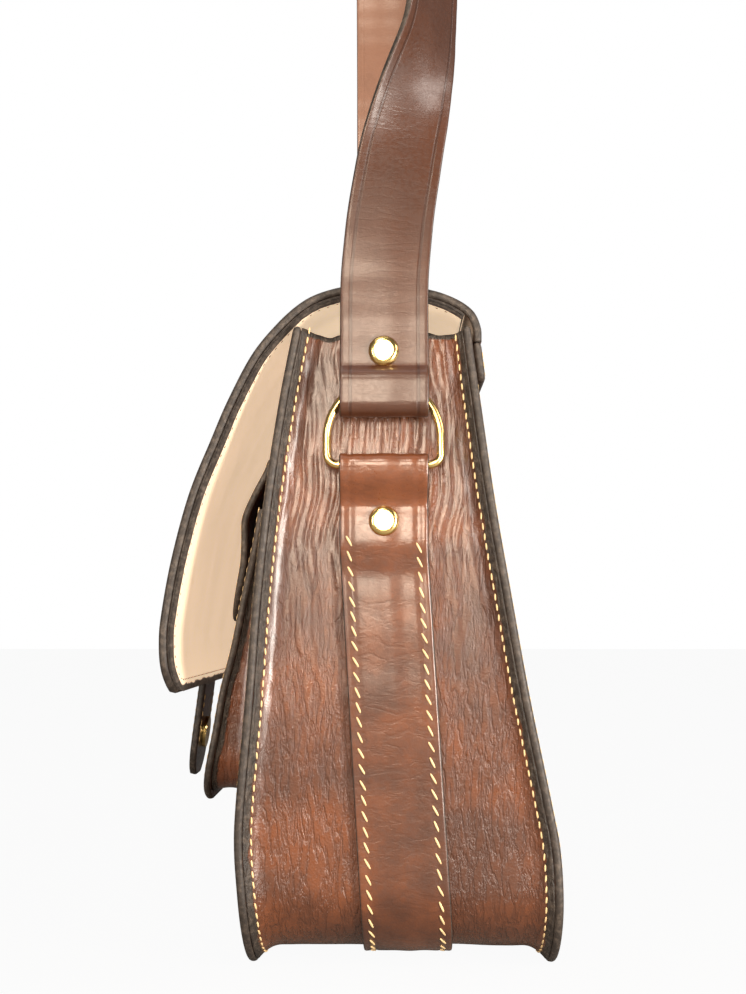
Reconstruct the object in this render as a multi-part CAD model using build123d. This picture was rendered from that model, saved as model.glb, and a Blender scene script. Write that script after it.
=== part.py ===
from build123d import *
import math
import os

# Sling bag with a flap, a gusseted front pocket and a long shoulder strap.
# Units are mm. +X runs along the bag, -Y is the front, +Z is up.
# The origin is on the floor, under the middle of the base.

# Overall sizes
BAG_LENGTH = 276.0
PANEL_HEIGHT = 231.0
CORNER_RADIUS = 30.0
STRAP_APEX = 595.0

# Leather thicknesses
PANEL_THICK = 3.0
GUSSET_THICK = 2.0
STRIP_THICK = 2.0
FLAP_THICK = 3.0
LINING_THICK = 2.0
STRAP_THICK = 2.5
POCKET_THICK = 2.5
POCKET_GUSSET_THICK = 1.6
TONGUE_THICK = 3.0

# Clearances
SEAM_GAP = 0.15
MOVING_GAP = 0.6
PIN_GAP = 0.1

# How far the gusset sits inside the panel edge, and the sewn flange beside it
GUSSET_INSET = 6.0
FLANGE_INSET = 1.0
FLANGE_DEPTH = 9.0

# Panel side view: share of the panel height, distance from the middle plane
FRONT_SHAPE = [(-0.04, 53.0), (0.0, 54.0), (0.11, 56.2), (0.19, 57.7), (0.26, 57.3), (0.416, 54.4),
               (0.571, 52.0), (0.723, 48.4), (0.879, 43.2), (1.0, 38.0), (1.04, 36.2)]
BACK_SHAPE = [(-0.04, 56.8), (0.0, 57.0), (0.11, 57.7), (0.19, 56.9), (0.26, 54.1), (0.416, 47.0),
              (0.571, 40.9), (0.723, 35.2), (0.879, 30.2), (1.0, 26.8), (1.04, 25.6)]

# Strip along the middle of the gusset; it leans towards the front at the top
STRIP_WIDTH = 32.0
STRIP_MIDDLE_LOW = 4.0
STRIP_MIDDLE_HIGH = -5.0
STRIP_LEAN_TOP = 150.0

# D ring, in a plane across each end of the bag
RING_WIRE = 3.0
RING_HALF_WIDTH = 20.5
RING_CORNER = 4.0
RING_OFFSET = 1.5
RING_BAR_Z = 180.0
RING_ARC_Z = 190.0
RING_MIDDLE = STRIP_MIDDLE_HIGH
RING_SLACK = 0.45

# Rivets
RIVET_CAP = 11.0
RIVET_CAP_RISE = 2.2
RIVET_POST = 4.0
RIVET_WASHER = 9.0
RIVET_WASHER_THICK = 0.8
TAB_RIVET_Z = 160.0
STRAP_RIVET_Z = 221.0

# Shoulder strap
STRAP_WIDTH = 32.0
STRAP_EYE_HALF = 3.4
STRAP_TAIL_TOP = 232.0
STRAP_STRAIGHT_TOP = 405.0

# Flap side view above the back seam, outer face: (across, height above the panel top)
FLAP_SHAPE = [(30.9, -5.0), (30.6, 0.5), (27.8, 6.6), (21.0, 11.4), (11.0, 14.8), (-3.0, 16.6),
              (-17.0, 16.2), (-28.0, 13.6), (-36.0, 9.4), (-44.5, 1.6), (-53.5, -9.8), (-62.0, -26.5),
              (-68.0, -41.0), (-75.8, -61.0), (-81.8, -84.5), (-85.2, -105.0), (-85.8, -115.0),
              (-85.0, -124.5), (-82.8, -133.5)]
FLAP_LENGTH = BAG_LENGTH - 5.0
FLAP_CORNER = 14.0
FLAP_SEAM_DEPTH = 14.0
TONGUE_WIDTH = 34.0
TONGUE_LAP = 26.0
TONGUE_DROP = 43.0
TONGUE_FLARE = 6.0

# Pocket on the front panel
POCKET_LENGTH = 236.0
POCKET_CORNER = 18.0
POCKET_BOTTOM_Z = 57.0
POCKET_SHAPE = [(166.0, 3.6), (150.0, 4.6), (117.0, 8.4), (99.0, 11.6), (82.0, 13.2), (64.0, 15.0),
                (57.0, 14.6)]
LID_LENGTH = 228.0
LID_SEAM_DEPTH = 12.0
LID_SHAPE = [(185.4, 3.1), (181.0, 4.0), (172.0, 7.4), (163.0, 9.9), (155.0, 9.2), (146.0, 8.6),
             (136.0, 9.4), (124.0, 11.0)]

# Snap on the tongue and on the pocket
SNAP_DIAMETER = 14.0
SNAP_THICK = 1.6
STUD_DIAMETER = 8.0
STUD_THICK = 1.8
STUD_POST = 3.0
STUD_Z = 72.0

# Points on a curve, and a length longer than any piece
PATH_STEPS = 40
DEEP = 400.0


def smooth_path(points, count):
    """Even points on a smooth curve through the given points."""
    curve = Spline(*points)
    steps = [curve @ (i / (count - 1)) for i in range(count)]
    return [(p.X, p.Y) for p in steps]


def shifted(points, distance):
    """Move a path to its left by the given distance, point by point."""
    moved = []
    last = len(points) - 1
    for i, (u, v) in enumerate(points):
        before = points[max(i - 1, 0)]
        after = points[min(i + 1, last)]
        du = after[0] - before[0]
        dv = after[1] - before[1]
        run = math.hypot(du, dv)
        moved.append((u - dv / run * distance, v + du / run * distance))
    return moved


def band(points, near, far, curve=Spline):
    """Flat face between two curves that follow a path at two distances."""
    first = curve(*shifted(points, near))
    second = curve(*shifted(points, far))
    ends = [Line(first @ 0, second @ 0), Line(first @ 1, second @ 1)]
    return make_face([first, second] + ends)


def along_x(face, half):
    return extrude(Plane.YZ * face, amount=half, both=True)


def along_y(face, half):
    return extrude(Plane.XZ * face, amount=half, both=True)


def cylinder_along_x(diameter, x_from, x_to, y, z):
    length = abs(x_to - x_from)
    place = Plane(origin=((x_from + x_to) / 2, y, z), z_dir=(1, 0, 0))
    return place * Cylinder(diameter / 2, length)


def both_ends(solid):
    return [solid, solid.mirror(Plane.YZ)]


def outline(inset):
    """Bag seen from the front: straight sides, round bottom corners, open above."""
    half = BAG_LENGTH / 2 - inset
    radius = CORNER_RADIUS - inset
    face = Pos(0, (inset + PANEL_HEIGHT) / 2) * Rectangle(2 * half, PANEL_HEIGHT - inset)
    low = face.vertices().sort_by(Axis.Y)[:2]
    return along_y(fillet(low, radius), DEEP)


def panel_path(shape, sign):
    return smooth_path([(sign * across, share * PANEL_HEIGHT) for share, across in shape], PATH_STEPS)


def front_path():
    """Outer face of the front panel from bottom to top; the inside is on its right."""
    return panel_path(FRONT_SHAPE, -1)


def back_path():
    """Outer face of the back panel from bottom to top; the inside is on its left."""
    return panel_path(BACK_SHAPE, 1)


def panel(path, side):
    return along_x(band(path, 0, side * PANEL_THICK), DEEP) & outline(0)


def between_panels(gap):
    """Solid that fills the bag between the two panels."""
    front = shifted(front_path(), -PANEL_THICK - gap)
    back = shifted(back_path(), PANEL_THICK + gap)
    sides = [Spline(*front), Spline(*back)]
    ends = [Line(sides[0] @ 0, sides[1] @ 0), Line(sides[0] @ 1, sides[1] @ 1)]
    return along_x(make_face(sides + ends), DEEP)


def gusset():
    ring = outline(GUSSET_INSET) - outline(GUSSET_INSET + GUSSET_THICK)
    body = ring & between_panels(SEAM_GAP)
    rim = outline(FLANGE_INSET) - outline(FLANGE_DEPTH)
    for path, side in ((front_path(), -1), (back_path(), 1)):
        near = side * (PANEL_THICK + SEAM_GAP)
        far = near + side * GUSSET_THICK
        body += along_x(band(path, near, far), DEEP) & rim
    for post in tab_rivet_holes():
        body -= post
    return body


def strip_x():
    return BAG_LENGTH / 2 - GUSSET_INSET


def ring_x():
    return BAG_LENGTH / 2 + RING_OFFSET


def strip_loop():
    """Side view of the strip end: up, round the bar of the ring and back down."""
    low_x = strip_x() + SEAM_GAP + STRIP_THICK / 2
    out_x = low_x + STRIP_THICK + SEAM_GAP
    hold = RING_WIRE / 2 + RING_SLACK + STRIP_THICK / 2
    path = [(low_x, 120.0), (low_x, 132.0), (low_x, 141.0), (low_x + 0.9, 146.0), (out_x, 152.0),
            (out_x, 160.0), (out_x, 167.0), (ring_x() + hold - 1.3, 174.5)]
    for degrees in range(-15, 181, 15):
        turn = math.radians(degrees)
        path.append((ring_x() + hold * math.cos(turn), RING_BAR_Z + hold * math.sin(turn)))
    path += [(ring_x() - hold - 0.3, 175.0), (low_x + 0.2, 168.0), (low_x, 162.0), (low_x, 154.0)]
    return along_y(band(path, -STRIP_THICK / 2, STRIP_THICK / 2, Polyline), DEEP)


def strip_lean():
    """Leaning band, seen from the end, that the strip is cut from."""
    half = STRIP_WIDTH / 2
    middles = [(STRIP_MIDDLE_LOW, -1.0), (STRIP_MIDDLE_HIGH, STRIP_LEAN_TOP), (STRIP_MIDDLE_HIGH, PANEL_HEIGHT)]
    left = [(y - half, z) for y, z in middles]
    right = [(y + half, z) for y, z in reversed(middles)]
    return along_x(make_face(Polyline(*left, *right, close=True)), DEEP)


def gusset_strip():
    ring = outline(GUSSET_INSET - SEAM_GAP - STRIP_THICK) - outline(GUSSET_INSET - SEAM_GAP)
    keep = Pos(0, 0, 60) * Box(2 * DEEP, 2 * DEEP, 122)
    ring = ring & keep
    body = ring
    for loop in both_ends(strip_loop()):
        body += loop
    body = body & strip_lean()
    for post in tab_rivet_holes():
        body -= post
    return body


def tab_rivet_face():
    return strip_x() + 2 * STRIP_THICK + 2 * SEAM_GAP


def tab_rivet_holes():
    start = strip_x() - 3 * GUSSET_THICK
    hole = cylinder_along_x(RIVET_POST + 2 * PIN_GAP, start, tab_rivet_face() + 2, RING_MIDDLE, TAB_RIVET_Z)
    return both_ends(hole)


def rivet_cap(x, y, z):
    """Low dome whose flat side faces the bag."""
    disc = cylinder_along_x(RIVET_CAP, x, x + RIVET_CAP_RISE, y, z)
    return fillet(disc.edges().sort_by(Axis.X)[-1], RIVET_CAP_RISE * 0.9)


def rivet_back(x, y, z):
    return cylinder_along_x(RIVET_WASHER, x - RIVET_WASHER_THICK, x, y, z)


def tab_rivet_caps():
    return both_ends(rivet_cap(tab_rivet_face() + SEAM_GAP, RING_MIDDLE, TAB_RIVET_Z))


def tab_rivet_posts():
    inside = strip_x() - GUSSET_THICK - SEAM_GAP
    post = cylinder_along_x(RIVET_POST, inside - 0.2, tab_rivet_face() + SEAM_GAP, RING_MIDDLE, TAB_RIVET_Z)
    return both_ends(post + rivet_back(inside, RING_MIDDLE, TAB_RIVET_Z))


def d_ring():
    half = RING_HALF_WIDTH
    corner = RING_CORNER
    bar = RING_BAR_Z
    arc = RING_ARC_Z
    y = RING_MIDDLE
    flat = half - corner
    diagonal = corner * math.sin(math.radians(45))
    wire = [
        Line((y, bar), (y + flat, bar)),
        ThreePointArc((y + flat, bar), (y + flat + diagonal, bar + corner - diagonal), (y + half, bar + corner)),
        Line((y + half, bar + corner), (y + half, arc)),
        ThreePointArc((y + half, arc), (y, arc + half), (y - half, arc)),
        Line((y - half, arc), (y - half, bar + corner)),
        ThreePointArc((y - half, bar + corner), (y - flat - diagonal, bar + corner - diagonal), (y - flat, bar)),
        Line((y - flat, bar), (y, bar)),
    ]
    path = Plane.YZ.offset(ring_x()) * Wire(wire)
    start = Plane(origin=(ring_x(), y, bar), z_dir=(0, 1, 0))
    middle_bar = start * Circle(RING_WIRE / 2)
    return sweep(middle_bar, path=path)


def ring_underside():
    """Height of the underside of the ring where the edges of the strap cross it."""
    inner = RING_HALF_WIDTH - RING_WIRE / 2
    return RING_ARC_Z + math.sqrt(inner ** 2 - (STRAP_WIDTH / 2) ** 2)


def strap_side():
    """Strap seen from the front, middle of its thickness: tail, eye, leg, arch and back."""
    middle = ring_x()
    leg = middle + STRAP_THICK / 2
    tail = middle - STRAP_THICK / 2 - SEAM_GAP
    wide = STRAP_EYE_HALF + STRAP_THICK / 2
    fold = wide * 0.75
    low = ring_underside() - RING_SLACK - STRAP_THICK / 2 + fold
    closed = STRAP_RIVET_Z - RIVET_CAP / 2
    side = [(tail, z) for z in (STRAP_TAIL_TOP, closed + 12, closed + 8, closed + 4, closed)]
    side += [(tail - 0.5, closed - 2.2), (middle - wide + 0.4, closed - 6), (middle - wide, closed - 9)]
    for degrees in range(180, 361, 20):
        turn = math.radians(degrees)
        side.append((middle + wide * math.cos(turn), low + fold * math.sin(turn)))
    side += [(middle + wide, closed - 9), (middle + wide - 0.4, closed - 6), (leg + 0.5, closed - 2.2)]
    side += [(leg, z) for z in (closed, closed + 4, closed + 8, closed + 12, closed + 20)]
    start = closed + 20
    for step in range(1, 6):
        side.append((leg, start + (STRAP_STRAIGHT_TOP - start) * step / 5))
    rise = STRAP_APEX - STRAP_THICK / 2 - STRAP_STRAIGHT_TOP
    for degrees in range(10, 90, 10):
        turn = math.radians(degrees)
        side.append((leg * math.cos(turn), STRAP_STRAIGHT_TOP + rise * math.sin(turn)))
    half = side + [(0.0, STRAP_STRAIGHT_TOP + rise)]
    return half + [(-x, z) for x, z in reversed(side)]


def shoulder_strap():
    face = band(strap_side(), -STRAP_THICK / 2, STRAP_THICK / 2)
    body = Pos(0, RING_MIDDLE, 0) * along_y(face, STRAP_WIDTH / 2)
    for hole in strap_rivet_holes():
        body -= hole
    return body


def strap_face():
    return ring_x() + STRAP_THICK


def strap_rivet_holes():
    hole = cylinder_along_x(RIVET_POST + 2 * PIN_GAP, ring_x() - 6, strap_face() + 2, RING_MIDDLE, STRAP_RIVET_Z)
    return both_ends(hole)


def strap_rivet_caps():
    return both_ends(rivet_cap(strap_face() + SEAM_GAP, RING_MIDDLE, STRAP_RIVET_Z))


def strap_rivet_posts():
    inside = ring_x() - STRAP_THICK - 2 * SEAM_GAP
    post = cylinder_along_x(RIVET_POST, inside - 0.2, strap_face() + SEAM_GAP, RING_MIDDLE, STRAP_RIVET_Z)
    return both_ends(post + rivet_back(inside, RING_MIDDLE, STRAP_RIVET_Z))


def flap_path():
    """Outer face of the flap from the back seam over the top; the inside is on its left."""
    return smooth_path([(across, PANEL_HEIGHT + above) for across, above in FLAP_SHAPE], 2 * PATH_STEPS)


def flap_outline():
    low = PANEL_HEIGHT + FLAP_SHAPE[-1][1]
    face = Pos(0, low + DEEP / 2) * Rectangle(FLAP_LENGTH, DEEP)
    corners = face.vertices().sort_by(Axis.Y)[:2]
    return along_y(fillet(corners, FLAP_CORNER), DEEP)


def flap_leather():
    return along_x(band(flap_path(), 0, FLAP_THICK), DEEP) & flap_outline()


def flap_lining():
    near = FLAP_THICK + SEAM_GAP
    above_panel = flap_path()[5:]
    return along_x(band(above_panel, near, near + LINING_THICK), DEEP) & flap_outline()


def flap_seam():
    """Back edge of the flap, sewn to the outside of the back panel."""
    top = PANEL_HEIGHT + FLAP_SHAPE[0][1] - MOVING_GAP
    sheet = along_x(band(back_path(), -SEAM_GAP, -SEAM_GAP - FLAP_THICK), FLAP_LENGTH / 2)
    keep = Pos(0, 0, top - FLAP_SEAM_DEPTH / 2) * Box(2 * DEEP, 2 * DEEP, FLAP_SEAM_DEPTH)
    return sheet & keep


def tongue_path():
    """Closing tongue, seen from the end: sewn on the flap, then free below its edge."""
    low_y, low_z = flap_path()[-1]
    laid = [p for p in flap_path() if p[0] < low_y / 2 and low_z + 5 < p[1] < low_z + TONGUE_LAP]
    start_y, start_z = laid[-1]
    drop = start_z - low_z + TONGUE_DROP
    free = [(start_y - TONGUE_FLARE * share, start_z - drop * share) for share in (0.15, 0.4, 0.6, 0.8, 1.0)]
    return laid + free


def tongue_face_outline():
    low = PANEL_HEIGHT + FLAP_SHAPE[-1][1] - TONGUE_DROP - 4
    face = Pos(0, low + DEEP / 2) * Rectangle(TONGUE_WIDTH, DEEP)
    corners = face.vertices().sort_by(Axis.Y)[:2]
    return along_y(fillet(corners, TONGUE_WIDTH / 2 - 2), DEEP)


def closure_tongue():
    return along_x(band(tongue_path(), -SEAM_GAP, -SEAM_GAP - TONGUE_THICK), DEEP) & tongue_face_outline()


def on_front(height, out):
    """Point outside the front panel at a height, a distance out from its outer face."""
    path = front_path()
    for (y0, z0), (y1, z1) in zip(path, path[1:]):
        if z0 <= height <= z1:
            share = (height - z0) / (z1 - z0)
            return (y0 + (y1 - y0) * share - out, height)
    raise ValueError("height is off the panel")


def pocket_path():
    """Outer face of the pocket front from bottom to top."""
    return smooth_path([on_front(z, out) for z, out in reversed(POCKET_SHAPE)], PATH_STEPS)


def pocket_outline(inset, top):
    low = POCKET_BOTTOM_Z + inset
    face = Pos(0, (low + top) / 2) * Rectangle(POCKET_LENGTH - 2 * inset, top - low)
    corners = face.vertices().sort_by(Axis.Y)[:2]
    return along_y(fillet(corners, POCKET_CORNER - inset), DEEP)


def pocket_front():
    top = POCKET_SHAPE[0][0]
    sheet = along_x(band(pocket_path(), 0, -POCKET_THICK), DEEP) & pocket_outline(0, top)
    return sheet - pocket_stud_hole()


def pocket_gusset():
    """Wedge shaped wall that joins the pocket front to the front panel."""
    top = POCKET_SHAPE[0][0]
    ring = pocket_outline(3, top) - pocket_outline(3 + POCKET_GUSSET_THICK, top)
    outside = shifted(pocket_path(), -POCKET_THICK - SEAM_GAP)
    inside = shifted(front_path(), SEAM_GAP)
    sides = [Spline(*outside), Spline(*inside)]
    ends = [Line(sides[0] @ 0, sides[1] @ 0), Line(sides[0] @ 1, sides[1] @ 1)]
    return ring & along_x(make_face(sides + ends), DEEP)


def lid_path():
    """Outer face of the pocket lid from bottom to top."""
    return smooth_path([on_front(z, out) for z, out in reversed(LID_SHAPE)], PATH_STEPS)


def pocket_lid():
    low = LID_SHAPE[-1][0]
    face = Pos(0, low + DEEP / 2) * Rectangle(LID_LENGTH, DEEP)
    corners = face.vertices().sort_by(Axis.Y)[:2]
    cut = along_y(fillet(corners, POCKET_CORNER), DEEP)
    return along_x(band(lid_path(), 0, -POCKET_THICK), DEEP) & cut


def lid_seam():
    """Top edge of the pocket lid, sewn to the front panel."""
    low = LID_SHAPE[0][0] + MOVING_GAP
    sheet = along_x(band(front_path(), SEAM_GAP, SEAM_GAP + POCKET_THICK), LID_LENGTH / 2)
    keep = Pos(0, 0, low + LID_SEAM_DEPTH / 2) * Box(2 * DEEP, 2 * DEEP, LID_SEAM_DEPTH)
    return sheet & keep


def stud_place():
    """Plane on the outer face of the pocket, pointing outwards."""
    path = pocket_path()
    below = max((p for p in path if p[1] <= STUD_Z), key=lambda p: p[1])
    above = min((p for p in path if p[1] > STUD_Z), key=lambda p: p[1])
    out = Vector(0, below[1] - above[1], above[0] - below[0])
    return Plane(origin=(0, below[0], below[1]), x_dir=(1, 0, 0), z_dir=out)


def pocket_stud_hole():
    return stud_place() * Cylinder(STUD_POST / 2 + PIN_GAP, 4 * POCKET_THICK)


def pocket_stud():
    """Press stud on the pocket: cap outside, post through the leather, washer inside."""
    place = stud_place()
    cap = Pos(0, 0, SEAM_GAP + STUD_THICK / 2) * Cylinder(STUD_DIAMETER / 2, STUD_THICK)
    post = Pos(0, 0, -POCKET_THICK / 2) * Cylinder(STUD_POST / 2, POCKET_THICK + 4 * SEAM_GAP)
    washer = Pos(0, 0, -POCKET_THICK - 2 * SEAM_GAP - SNAP_THICK / 4) * Cylinder(STUD_DIAMETER / 2, SNAP_THICK / 2)
    return place * (cap + post + washer)


def tongue_snap():
    """Press stud socket on the inner face of the closing tongue."""
    path = tongue_path()
    low, high = path[-2], path[-4]
    out = Vector(0, high[1] - low[1], low[0] - high[0])
    middle = ((low[0] + high[0]) / 2, (low[1] + high[1]) / 2)
    place = Plane(origin=(0, middle[0], middle[1]), x_dir=(1, 0, 0), z_dir=out)
    return place * Pos(0, 0, SEAM_GAP + SNAP_THICK / 2) * Cylinder(SNAP_DIAMETER / 2, SNAP_THICK)


def save(name, shape):
    if isinstance(shape, list):
        shape = Compound(children=shape)
    shape.label = name
    export_step(shape, f"parts/{name}.step")


def main():
    os.makedirs("parts", exist_ok=True)
    save("front_panel", panel(front_path(), -1))
    save("back_panel", panel(back_path(), 1))
    save("gusset", gusset())
    save("gusset_strip", gusset_strip())
    save("tab_rivet_caps", tab_rivet_caps())
    save("tab_rivet_posts", tab_rivet_posts())
    save("flap_seam", flap_seam())
    save("flap_leather", flap_leather())
    save("flap_lining", flap_lining())
    save("closure_tongue", closure_tongue())
    save("tongue_snap", tongue_snap())
    save("pocket_front", pocket_front())
    save("pocket_gusset", pocket_gusset())
    save("pocket_stud", pocket_stud())
    save("lid_seam", lid_seam())
    save("pocket_lid", pocket_lid())
    ring = d_ring()
    save("d_ring_right", ring)
    save("d_ring_left", ring.mirror(Plane.YZ))
    save("shoulder_strap", shoulder_strap())
    save("strap_rivet_caps", strap_rivet_caps())
    save("strap_rivet_posts", strap_rivet_posts())


main()
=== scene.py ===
import math
import random

import bmesh
import bpy
import numpy as np
from mathutils import Matrix, Vector


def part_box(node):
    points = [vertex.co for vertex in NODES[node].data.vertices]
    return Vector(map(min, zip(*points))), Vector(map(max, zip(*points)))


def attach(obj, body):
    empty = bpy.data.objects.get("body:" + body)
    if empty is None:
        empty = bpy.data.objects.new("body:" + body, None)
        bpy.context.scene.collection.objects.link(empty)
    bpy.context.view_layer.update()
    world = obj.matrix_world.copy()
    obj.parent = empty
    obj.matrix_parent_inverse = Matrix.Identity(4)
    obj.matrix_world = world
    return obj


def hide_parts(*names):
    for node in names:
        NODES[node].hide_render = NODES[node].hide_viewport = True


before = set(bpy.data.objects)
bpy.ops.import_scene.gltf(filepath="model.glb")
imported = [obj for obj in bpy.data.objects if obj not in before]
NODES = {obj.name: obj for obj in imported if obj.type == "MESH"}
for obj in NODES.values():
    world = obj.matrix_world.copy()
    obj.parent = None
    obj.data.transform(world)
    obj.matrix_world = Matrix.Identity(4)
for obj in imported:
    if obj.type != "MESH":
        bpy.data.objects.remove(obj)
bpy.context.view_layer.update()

bl_info = {
    "name": "Sling bag looks",
    "version": (1, 0, 0),
    "blender": (4, 5, 0),
    "location": "View3D > Sidebar > Bag",
    "description": "Builds the leather, thread, lining and brass looks of a flap sling bag on its CAD frame",
    "category": "Object",
}

MM = 0.001

# Lengths in metres
SEAM_GAP = 0.15 * MM
FLAP_THICK = 3.0 * MM
LINING_START = 3.05 * MM
LINING_END = 5.2 * MM
FLAP_CORNER = 14 * MM
FLAP_SEAM_OUT = 3.2 * MM
LID_SEAM_OUT = 2.7 * MM
POCKET_THICK = 2.5 * MM
POCKET_CORNER = 18.0 * MM
POCKET_WALL_INSET = 3 * MM
POCKET_WALL_THICK = 1.6 * MM
TONGUE_THICK = 3 * MM
TONGUE_HALF = 17 * MM
STRIP_THICK = 2 * MM
STRIP_INSET = (6 - 1.15) * MM
STRAP_THICK = 2.5 * MM
STRAP_STRAIGHT_TOP = 0.405
BAND_HALF = 16 * MM
TOOLED_LINE = 12.2 * MM
SUEDE_BLEED = 2.4 * MM

# Stitches: half length, half width and half height, and how far rows are from the edges
EDGE_STITCH = (1.25 * MM, 0.38 * MM, 0.3 * MM)
STRIP_STITCH = (2.1 * MM, 0.42 * MM, 0.34 * MM)
NEEDLE_HOLE = (0.55 * MM, 0.3 * MM, 0.14 * MM)
PANEL_ROW_INSET = 4.5 * MM
POCKET_ROW_INSET = 3.4 * MM
FLAP_ROW_INSET = 4 * MM

CURVE_STEPS = 24
COAT_ROUGHNESS = 0.2
# Glow strength of the suede, painted light that brightens the flap underside.
SUEDE_PAINTED_LIGHT = 0.78

# Camera: lens and film in mm, angles in radians
CAMERA_PLACE = (0.590, -0.0046, 0.1227)
CAMERA_LENS = 45.7787
CAMERA_FILM = 36
CAMERA_PITCH = math.radians(5.7824)
CAMERA_YAW = math.radians(0.5439)
FLOOR_HALF = 6
FLOOR_DROP = 0.6 * MM
FLOOR_GLOW = 0.95
WORLD_LIGHT = 0.16

# Lights: name, place, target, watts, size and colour
LIGHTS = (
    ("key", (0.66, -0.03, 0.25), (0.14, 0.0, 0.16), 1.8, (0.10, 0.22), (1.0, 0.82, 0.64)),
    ("high", (0.9, -0.15, 0.8), (0.14, 0.0, 0.16), 4, (0.2, 0.2), (1.0, 0.86, 0.70)),
    ("lining_fill", (0.42, 0.32, 0.13), (0.1, -0.08, 0.17), 3.0, (0.12, 0.2), (1.0, 0.94, 0.86)),
    ("low_front", (0.95, -0.6, 0.25), (0.1, -0.02, 0.14), 4, (0.2, 0.4), (1.0, 0.93, 0.84)),
    ("top", (0.0, -0.2, 1.6), (0.0, 0.0, 0.2), 7, (1.2, 1.2), (1, 1, 1)),
    ("back_side", (0.5, 1.1, 0.7), (0.1, 0.03, 0.14), 5, (0.4, 0.4), (1.0, 0.93, 0.86)),
)


class BagSizes(bpy.types.PropertyGroup):
    panel_thick: bpy.props.FloatProperty(name="Panel thickness", description="Leather of the panels", default=3.0 * MM,
                                         unit="LENGTH")
    gusset_inset: bpy.props.FloatProperty(name="Gusset inset", description="How far the gusset is sunk",
                                          default=6.0 * MM, unit="LENGTH")
    stitch_pitch: bpy.props.FloatProperty(name="Edge stitch pitch", description="Along the panel edges",
                                          default=3.7 * MM, unit="LENGTH")
    strip_pitch: bpy.props.FloatProperty(name="Strip stitch pitch", description="Along the strip",
                                         default=5.4 * MM, unit="LENGTH")
    wrinkle: bpy.props.FloatProperty(name="Wrinkle depth", description="Folds of the gusset", default=0.42 * MM,
                                     unit="LENGTH")
    twist: bpy.props.FloatProperty(name="Strap twist", description="Turn of the near leg", default=math.radians(57),
                                   subtype="ANGLE")


class BagColours(bpy.types.PropertyGroup):
    leather: bpy.props.FloatVectorProperty(name="Leather", description="Panel leather", subtype="COLOR", size=3,
                                           default=(0.125, 0.041, 0.016))
    gusset: bpy.props.FloatVectorProperty(name="Gusset", description="Gusset leather", subtype="COLOR", size=3,
                                          default=(0.165, 0.050, 0.017))
    strap: bpy.props.FloatVectorProperty(name="Strap", description="Strap leather", subtype="COLOR", size=3,
                                         default=(0.074, 0.026, 0.012))
    # Dark leather is also mixed into the grain creases as painted shade.
    dark: bpy.props.FloatVectorProperty(name="Dark leather", description="Worn and shaded patches", subtype="COLOR",
                                        size=3, default=(0.035, 0.012, 0.006))
    paint: bpy.props.FloatVectorProperty(name="Edge paint", description="Painted raw edges", subtype="COLOR",
                                         size=3, default=(0.026, 0.019, 0.015))
    suede: bpy.props.FloatVectorProperty(name="Suede", description="Flesh side of the lining", subtype="COLOR",
                                         size=3, default=(0.86, 0.66, 0.46))
    flesh: bpy.props.FloatVectorProperty(name="Strap flesh side", description="Inner face of the strap",
                                         subtype="COLOR", size=3, default=(0.30, 0.15, 0.095))
    thread: bpy.props.FloatVectorProperty(name="Thread", description="Cream thread", subtype="COLOR", size=3,
                                          default=(0.80, 0.58, 0.30))
    brass: bpy.props.FloatVectorProperty(name="Brass", description="Polished brass", subtype="COLOR", size=3,
                                         default=(0.80, 0.58, 0.22))


def sizes():
    return bpy.context.scene.bag_sizes


def colours():
    return bpy.context.scene.bag_colours


# Curves and profiles

def lengths(path):
    """Distance along a path at each of its points."""
    return np.concatenate([[0], np.cumsum(np.linalg.norm(np.diff(path, axis=0), axis=1))])


def resample(path, count):
    """The same path with evenly spaced points."""
    run = lengths(path)
    want = np.linspace(0, run[-1], count)
    return np.stack([np.interp(want, run, path[:, k]) for k in range(path.shape[1])], axis=1)


def smooth(points, count):
    """Even points along a smooth curve through the given points."""
    pts = np.array(points, float)
    ends = np.vstack([2 * pts[0] - pts[1], pts, 2 * pts[-1] - pts[-2]])
    dense = []
    for i in range(len(pts) - 1):
        p0, p1, p2, p3 = ends[i:i + 4]
        for t in np.linspace(0, 1, CURVE_STEPS, endpoint=False):
            dense.append(0.5 * (2 * p1 + (p2 - p0) * t + (2 * p0 - 5 * p1 + 4 * p2 - p3) * t ** 2
                                + (3 * p1 - p0 - 3 * p2 + p3) * t ** 3))
    return resample(np.array(dense + [pts[-1]]), count)


def sides(path):
    """Unit vectors to the left of a flat path."""
    step = np.gradient(path, axis=0)
    step /= np.linalg.norm(step, axis=1)[:, None]
    return np.stack([-step[:, 1], step[:, 0]], axis=1)


LOW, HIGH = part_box("front_panel")
HALF = HIGH.x
TOP = HIGH.z
CORNER = 30 * MM
FLAP_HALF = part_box("flap_leather")[1].x
FRONT = [(-0.04, 53.0), (0.0, 54.0), (0.11, 56.2), (0.19, 57.7), (0.26, 57.3), (0.416, 54.4), (0.571, 52.0),
         (0.723, 48.4), (0.879, 43.2), (1.0, 38.0), (1.04, 36.2)]
BACK = [(-0.04, 56.8), (0.0, 57.0), (0.11, 57.7), (0.19, 56.9), (0.26, 54.1), (0.416, 47.0), (0.571, 40.9),
        (0.723, 35.2), (0.879, 30.2), (1.0, 26.8), (1.04, 25.6)]
FLAP = [(30.9, -5.0), (30.6, 0.5), (27.8, 6.6), (21.0, 11.4), (11.0, 14.8), (-3.0, 16.6), (-17.0, 16.2),
        (-28.0, 13.6), (-36.0, 9.4), (-44.5, 1.6), (-53.5, -9.8), (-62.0, -26.5), (-68.0, -41.0),
        (-75.8, -61.0), (-81.8, -84.5), (-85.2, -105.0), (-85.8, -115.0), (-85.0, -124.5), (-82.8, -133.5)]
POCKET = [(166.0, 3.6), (150.0, 4.6), (117.0, 8.4), (99.0, 11.6), (82.0, 13.2), (64.0, 15.0), (57.0, 14.6)]
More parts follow.
